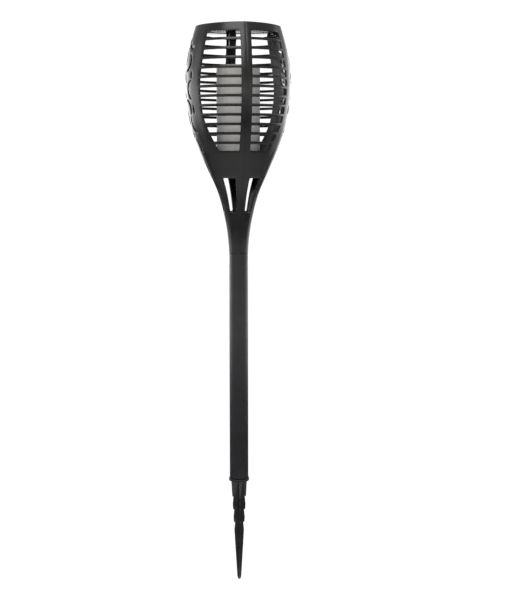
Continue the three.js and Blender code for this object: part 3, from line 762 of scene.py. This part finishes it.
def wall_shell(wall):
    """The half's wall: two triangulated skins joined round every edge by a rounded strip."""
    loops = pattern_loops()
    roundings = [SEAM_ROUNDING] + [EDGE_ROUNDING] * (len(loops) - 1)
    skin_loops = [grown(wall, loop, rounding) for loop, rounding in zip(loops, roundings)]
    filling = filling_points(skin_loops, loops[0][:, 1].min())
    points, triangles = triangulated(skin_loops, filling)
    count = len(points)
    vertices = [wall.place(points, 0), wall.place(points, CAGE_WALL)]
    faces = [tuple(t) for t in triangles] + [tuple(t[::-1] + count) for t in triangles]
    total, first = 2 * count, 0
    for loop, rounding in zip(loops, roundings):
        size = len(loop)
        rings = [np.arange(first, first + size)]
        for offset, depth in edge_levels(rounding):
            vertices.append(wall.place(grown(wall, loop, offset) if offset else loop, depth))
            rings.append(np.arange(total, total + size))
            total += size
        rings.append(np.arange(first, first + size) + count)
        for high, low in zip(rings, rings[1:]):
            for i in range(size):
                j = (i + 1) % size
                faces.append((high[j], high[i], low[i], low[j]))
        first += size
    return np.concatenate(vertices).tolist(), faces


def half_ring(ledge, shoulder):
    """A ledge inside the right half."""
    outer = min(wall_radius(ledge["bottom"]), wall_radius(ledge["top"])) - CAGE_WALL + LEDGE_BITE
    profile = [
        (outer, ledge["bottom"]), (outer, ledge["top"]), (ledge["inner"], ledge["top"]),
        (ledge["inner"], ledge["bottom"]),
    ]
    margin = SEAM_HALF_GAP / ledge["inner"]
    return lifted(turned(profile, 0.3, 48, margin, math.pi - 2 * margin), shoulder)


def screw_boss(degrees, shoulder):
    top = TRAY_LEDGE["bottom"] + 0.2
    profile = [
        (BOSS["radius"], -BOSS["length"]), (BOSS["radius"], 0), (BOSS["bore"], 0),
        (BOSS["bore"], -BOSS["length"]),
    ]
    azimuth = math.radians(degrees)
    x, y = BOSS["circle"] * math.sin(azimuth), -BOSS["circle"] * math.cos(azimuth)
    return lifted(turned(profile, 0.2, 24), top + shoulder, x, y)


def lead_clip(height, side, lead_x, lead_radius, shoulder):
    """One prong beside the lamp lead, inside the back rib."""
    near = lead_x + side * (lead_radius + CLIP["gap"])
    far = near + side * CLIP["thick"]
    wall = float(wall_radius(height)) - CAGE_WALL
    low = (min(near, far), wall - CLIP["reach"], height + shoulder - CLIP["height"] / 2)
    high = (max(near, far), wall + CLIP_BITE, height + shoulder + CLIP["height"] / 2)
    return block(low, high)


def make_cage():
    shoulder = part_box("cage_right")[1].z / MM - RIM_TOP
    holes = [rod_through(f"tray_screw_{i}", BOSS["bore"]) for i in (1, 2)]
    right = merged(
        wall_shell(Wall(shoulder)),
        half_ring(CAP_LEDGE, shoulder),
        boolean(half_ring(TRAY_LEDGE, shoulder), holes, "DIFFERENCE"),
        *(screw_boss(degrees, shoulder) for degrees in BOSS["azimuths"]),
    )
    left = ([(-x, y, z) for x, y, z in right[0]], [face[::-1] for face in right[1]])
    finish_piece(new_piece("cage_left_shell", *left), "cage_left")
    lead_low, lead_high = (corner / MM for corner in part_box("lamp_lead"))
    lead_x = (lead_low.x + lead_high.x) / 2
    lead_radius = (lead_high.x - lead_low.x) / 2
    clips = [
        lead_clip(height, side, lead_x, lead_radius, shoulder)
        for height in CLIP["heights"] for side in (-1, 1)
    ]
    finish_piece(new_piece("cage_right_shell", *merged(right, *clips)), "cage_right")


# ------------------------------------------------------------------ pole and spike

def make_pole():
    low, high = (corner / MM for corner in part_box("pole"))
    outer, length = high.x, high.z - low.z
    bore = outer - POLE_WALL
    profile = [(outer, 0), (outer, length), (bore, length), (bore, 0)]
    turned_piece("pole_tube", profile, "pole", radius=0.5, sides=128)


def plus_loft(rows):
    """A closed solid with a plus-shaped section, from rows of (height, half span, half thickness)."""
    vertices, faces = [], []
    for height, span, thick in rows:
        quarter = [(thick, thick), (thick, span), (-thick, span)]
        section = []
        for turn in range(4):
            for x, y in quarter:
                for _ in range(turn):
                    x, y = -y, x
                section.append((x, y, height))
        vertices += section
    size = 12
    for row in range(len(rows) - 1):
        low, high = row * size, (row + 1) * size
        for i in range(size):
            j = (i + 1) % size
            faces.append([low + i, low + j, high + j, high + i])
    last = (len(rows) - 1) * size
    faces.append(list(range(size))[::-1])
    faces.append(list(range(last, last + size)))
    return vertices, faces


def blade_rows():
    """The blade from its tip up into the flange."""
    s = SPIKE
    straight = s["length"] - s["tip"]

    def half_at(depth):
        return s["half_top"] + (s["half_tip"] - s["half_top"]) * depth / straight

    def thick_at(depth):
        return s["fin_half_top"] + (s["fin_half_tip"] - s["fin_half_top"]) * depth / s["length"]

    rows = [(1, s["half_top"], s["fin_half_top"])]
    for barb in s["barbs"]:
        run_end = barb + s["barb_run"]
        rows += [
            (-barb, half_at(barb), thick_at(barb)),
            (-barb - 1, half_at(barb) - s["barb_depth"], thick_at(barb)),
            (-run_end, half_at(run_end), thick_at(run_end)),
        ]
    rows.append((-straight, s["half_tip"], thick_at(straight)))
    for share in s["tip_shares"]:
        rounded = s["half_tip"] * math.sqrt(1 - share**2 * s["tip_bluntness"])
        depth = straight + s["tip"] * share
        rows.append((-depth, max(s["half_end"], rounded), thick_at(straight)))
    return rows[::-1]


def make_spike():
    s = SPIKE
    plug_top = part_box("ground_spike")[1].z / MM
    lip = s["flange_radius"] - s["lip"]
    flange = turned([
        (0, s["recess"]), (lip - s["recess"], s["recess"]), (lip, 0), (s["flange_radius"], 0),
        (s["flange_radius"], s["flange_thick"]), (0, s["flange_thick"]),
    ], 0.35, 96)
    rib_span = s["plug_radius"] - s["rib_inset"]
    ribs = plus_loft([(1, rib_span, s["rib_half"]), (plug_top, rib_span, s["rib_half"])])
    discs = [
        turned([(0, z), (s["plug_radius"], z), (s["plug_radius"], z + s["disc_thick"]),
                (0, z + s["disc_thick"])], 0.3, 96)
        for z in s["disc_heights"]
    ]
    whole = boolean(plus_loft(blade_rows()), [flange, ribs, *discs], "UNION")
    spike = new_piece("spike_body", *whole)
    add_bevel(spike, 0.3, degrees=50)
    apply_modifiers(spike)
    finish_piece(smooth_piece(spike, 32), "ground_spike")


# ------------------------------------------------------------------ diffuser and cap

def make_diffuser():
    """The tube with its three bayonet lugs, and the lid with the button's hole."""
    low, high = (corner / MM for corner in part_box("diffuser"))
    height = high.z - low.z
    outer = DIFFUSER["radius"]
    inner = outer - DIFFUSER["wall"]
    tube = turned([(outer, 0), (outer, height), (inner, height), (inner, 0)], 0.45)
    lugs = []
    for degrees in LUG["azimuths"]:
        start = math.radians(degrees - LUG["half_angle"])
        profile = [
            (LUG["outer"], LUG["bottom"]), (LUG["outer"], LUG["top"]),
            (LUG["inner"], LUG["top"]), (LUG["inner"], LUG["bottom"]),
        ]
        lugs.append(turned(profile, 0.25, 8, start, math.radians(2 * LUG["half_angle"])))
    piece = new_piece("diffuser_tube", *lifted(merged(tube, *lugs), low.z))
    finish_piece(piece, "diffuser")

    low, high = (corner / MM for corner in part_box("diffuser_lid"))
    top = high.z - low.z
    under = top - LID["thick"]
    skirt_inner = LID["skirt"] - LID["skirt_wall"]
    turned_piece("diffuser_top", [
        (LID["skirt"], 0), (LID["skirt"], under), (outer, under), (outer, top), (LID["hole"], top),
        (LID["hole"], under), (skirt_inner, under), (skirt_inner, 0),
    ], "diffuser_lid", radius=0.5)


def make_button():
    """A stem, a flange that keeps it under the lid, and a head with a shallow dish."""
    low, high = (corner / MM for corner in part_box("power_button"))
    top = high.z - low.z
    flange_top = top - BUTTON["head_height"]
    flange_bottom = flange_top - BUTTON["flange_thick"]
    dish = top - BUTTON["dish_depth"]
    turned_piece("button_cap", [
        (0, 0), (BUTTON["stem"], 0), (BUTTON["stem"], flange_bottom), (BUTTON["flange"], flange_bottom),
        (BUTTON["flange"], flange_top), (BUTTON["head"], flange_top), (BUTTON["head"], top),
        (BUTTON["dish"], top), (BUTTON["dish_foot"], dish), (0, dish),
    ], "power_button", radius=0.3, sides=64)


def make_cap():
    """The housing, its glossy underside, and the discs above and below the cells."""
    holes = [
        rod_through(f"{name}_{i}", radius)
        for name, (count, radius) in CAP_HOLES.items() for i in range(1, count + 1)
    ]
    low, high = (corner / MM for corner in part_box("cap_housing"))
    outer, height = high.x, high.z - low.z
    seat, floor_bottom, floor_top = CAP["seat"], CAP["floor_bottom"], CAP["floor_top"]
    turned_piece("cap_ring", [
        (0, floor_bottom), (seat, floor_bottom), (seat, 0), (outer, 0),
        (outer, height - CAP["edge"], CAP["edge_radius"]),
        (outer - CAP["edge"], height, CAP["edge_radius"]),
        (seat + CAP["bevel"], height, CAP["bevel_radius"]),
        (seat, height - CAP["bevel"], CAP["bevel_radius"]),
        (seat, floor_top), (0, floor_top),
    ], "cap_housing", radius=0.3, sides=128, holes=holes)

    low, high = (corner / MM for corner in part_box("cap_base"))
    radius, thick = high.x, high.z - low.z
    rim = radius - CAP_BASE["rim"]
    turned_piece("cap_underside", [
        (0, 0), (rim, 0), (rim + CAP_BASE["rim_slope"], CAP_BASE["rim_step"]),
        (radius, CAP_BASE["rim_step"]), (radius, thick), (0, thick),
    ], "cap_base", radius=0.2, sides=128, holes=holes)

    for node_name, (name, rounding) in PANEL_DISCS.items():
        low, high = (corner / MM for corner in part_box(node_name))
        radius, thick = high.x, high.z - low.z
        disc = [(0, 0), (radius, 0), (radius, thick), (0, thick)]
        turned_piece(name, disc, node_name, radius=rounding, sides=128)


REFINED = {  # edge rounding of the finer copies of CAD nodes
    "contact_block": 0.6, "tray": 0.25, "led_core": 0.25, "led_sleeve": 0.15, "battery": 0.35,
    "control_board": 0.15, "tact_switch": 0.2, "solar_cells": 0.08, "battery_contact": 0.12,
    **{f"tray_screw_{i}": 0.2 for i in range(1, 5)},
    **{f"cap_screw_{i}": 0.2 for i in range(1, 4)},
    **{f"contact_pin_{i}": 0.2 for i in range(1, 3)},
}


def make_inner_pieces():
    for name, width in REFINED.items():
        refined(f"{name}_fine", name, width)
    refined("lamp_lead_fine", "lamp_lead", smooth_levels=1)
    refined("battery_spring_fine", "battery_spring", smooth_levels=1)


# ------------------------------------------------------------------ stage, light and camera

VIEW_AZIMUTH = math.radians(-9.2)
VIEW_DISTANCE = 1.2  # metres from the torch's axis
EYE_HEIGHT = 0.385  # metres above the soil line
FOCAL_LENGTH = 62.4
AIM_ABOVE_MIDDLE = 0.015  # metres, like the next
AIM_BESIDE_AXIS = 0.019
SENSOR_HEIGHT = 36
FLOOR_DROP = 0.2  # metres from the spike's tip down to the floor, so that it shows whole
FLOOR_RADIUS = 0.35  # metres
FRONT_BANDS = [  # sine of the elevation, brightness
    (-1, 0.8), (-0.7, 0.75), (-0.36, 0.02), (-0.25, 0.04), (-0.17, 0.9), (-0.08, 2.2),
    (0.04, 0.45), (0.2, 0.4), (0.5, 0.5), (1, 0.7),
]
BACK_BRIGHTNESS = 4
BACK_SIDEWAYS = (0.3, 1.0)  # the light behind the torch fades over these spans of the direction's Y and Z
BACK_BOTTOM = (-0.1, 0.0)
BACK_TOP = (0.08, 0.24)
SEEN_BRIGHTNESS = 1.05  # of the background as the camera sees it
FLOOR_GLOW = 0.85
SOFTBOXES = {  # place, target, width and height in metres, power in watts
    "front_softbox": ((-0.45, -1.25, 1.65), (0, 0, 0.42), 1.5, 1.2, 18),
    "left_softbox": ((-1.3, 0.5, 0.45), (0, 0, 0.3), 0.5, 1.2, 2),
    "right_softbox": ((1.3, 0.5, 0.45), (0, 0, 0.3), 0.5, 1.2, 2),
}


def aim(item, target):
    item.rotation_euler = (Vector(target) - item.location).to_track_quat("-Z", "Y").to_euler()


def make_camera():
    low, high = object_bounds()
    data = bpy.data.cameras.new("camera")
    data.sensor_fit = "VERTICAL"
    data.sensor_height = SENSOR_HEIGHT
    data.lens = FOCAL_LENGTH
    camera = bpy.data.objects.new("camera", data)
    bpy.context.scene.collection.objects.link(camera)
    across = Vector((math.cos(VIEW_AZIMUTH), math.sin(VIEW_AZIMUTH), 0))
    camera.location = (
        VIEW_DISTANCE * math.sin(VIEW_AZIMUTH), -VIEW_DISTANCE * math.cos(VIEW_AZIMUTH), EYE_HEIGHT,
    )
    middle = Vector((0, 0, (low.z + high.z) / 2 + AIM_ABOVE_MIDDLE))
    aim(camera, middle + across * AIM_BESIDE_AXIS)
    bpy.context.scene.camera = camera


def area_light(name, place, target, width, height, power):
    data = bpy.data.lights.new(name, "AREA")
    data.shape = "RECTANGLE"
    data.size, data.size_y = width, height
    data.energy = power
    light = bpy.data.objects.new(name, data)
    bpy.context.scene.collection.objects.link(light)
    light.location = place
    aim(light, target)
    light.visible_camera = False


def make_floor():
    """A pale disc. It stops short in front, so that it doesn't shine in the pole."""
    low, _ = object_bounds()
    bpy.ops.mesh.primitive_circle_add(vertices=96, radius=FLOOR_RADIUS, fill_type="NGON",
                                      location=(0, 0, low.z - FLOOR_DROP))
    floor = bpy.context.object
    floor.name = "floor"
    material, tree, shader = principled("pale_floor", Roughness=0.9)
    place = tree.nodes.new("ShaderNodeTexCoord").outputs["Object"]
    tone = ramp(tree, noise(tree, place, scale=3), grey(0.86), grey(0.9))
    tree.links.new(tone, shader.inputs["Base Color"])
    shader.inputs["Emission Color"].default_value = (1, 1, 1, 1)
    shader.inputs["Emission Strength"].default_value = FLOOR_GLOW
    floor.data.materials.append(material)
    floor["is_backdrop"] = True


def make_world():
    """White all round for the camera. For light and reflections it is bright behind the torch's head,
    and banded elsewhere: a light band just under the horizon and a nearly black one below that."""
    world = bpy.data.worlds.new("studio")
    bpy.context.scene.world = world
    world.use_nodes = True
    tree = world.node_tree
    background = tree.nodes["Background"]
    background.inputs["Color"].default_value = (1, 1, 1, 1)
    parts = tree.nodes.new("ShaderNodeSeparateXYZ")
    tree.links.new(tree.nodes.new("ShaderNodeTexCoord").outputs["Generated"], parts.inputs["Vector"])
    share = ranged(tree, parts.outputs["Z"], -1, 1, easing="LINEAR")
    bands = tree.nodes.new("ShaderNodeValToRGB")
    elements = bands.color_ramp.elements
    while len(elements) < len(FRONT_BANDS):
        elements.new(1)
    for element, (height, brightness) in zip(elements, FRONT_BANDS):
        element.position = (height + 1) / 2
        element.color = grey(brightness)
    tree.links.new(share, bands.inputs["Fac"])
    behind = multiplied(
        tree,
        ranged(tree, parts.outputs["Y"], *BACK_SIDEWAYS),
        ranged(tree, parts.outputs["Z"], *BACK_BOTTOM),
        ranged(tree, parts.outputs["Z"], *BACK_TOP, 1, 0),
    )
    around = blended(tree, behind, bands.outputs["Color"], BACK_BRIGHTNESS)
    is_camera = tree.nodes.new("ShaderNodeLightPath").outputs["Is Camera Ray"]
    tree.links.new(blended(tree, is_camera, around, SEEN_BRIGHTNESS), background.inputs["Strength"])


def make_studio():
    make_world()
    make_floor()
    for name, settings in SOFTBOXES.items():
        area_light(name, *settings)
    bpy.context.scene.view_settings.view_transform = "Standard"


# ------------------------------------------------------------------ the torch

make_cage()
make_pole()
make_spike()
make_diffuser()
make_button()
make_cap()
make_inner_pieces()
make_studio()
make_camera()
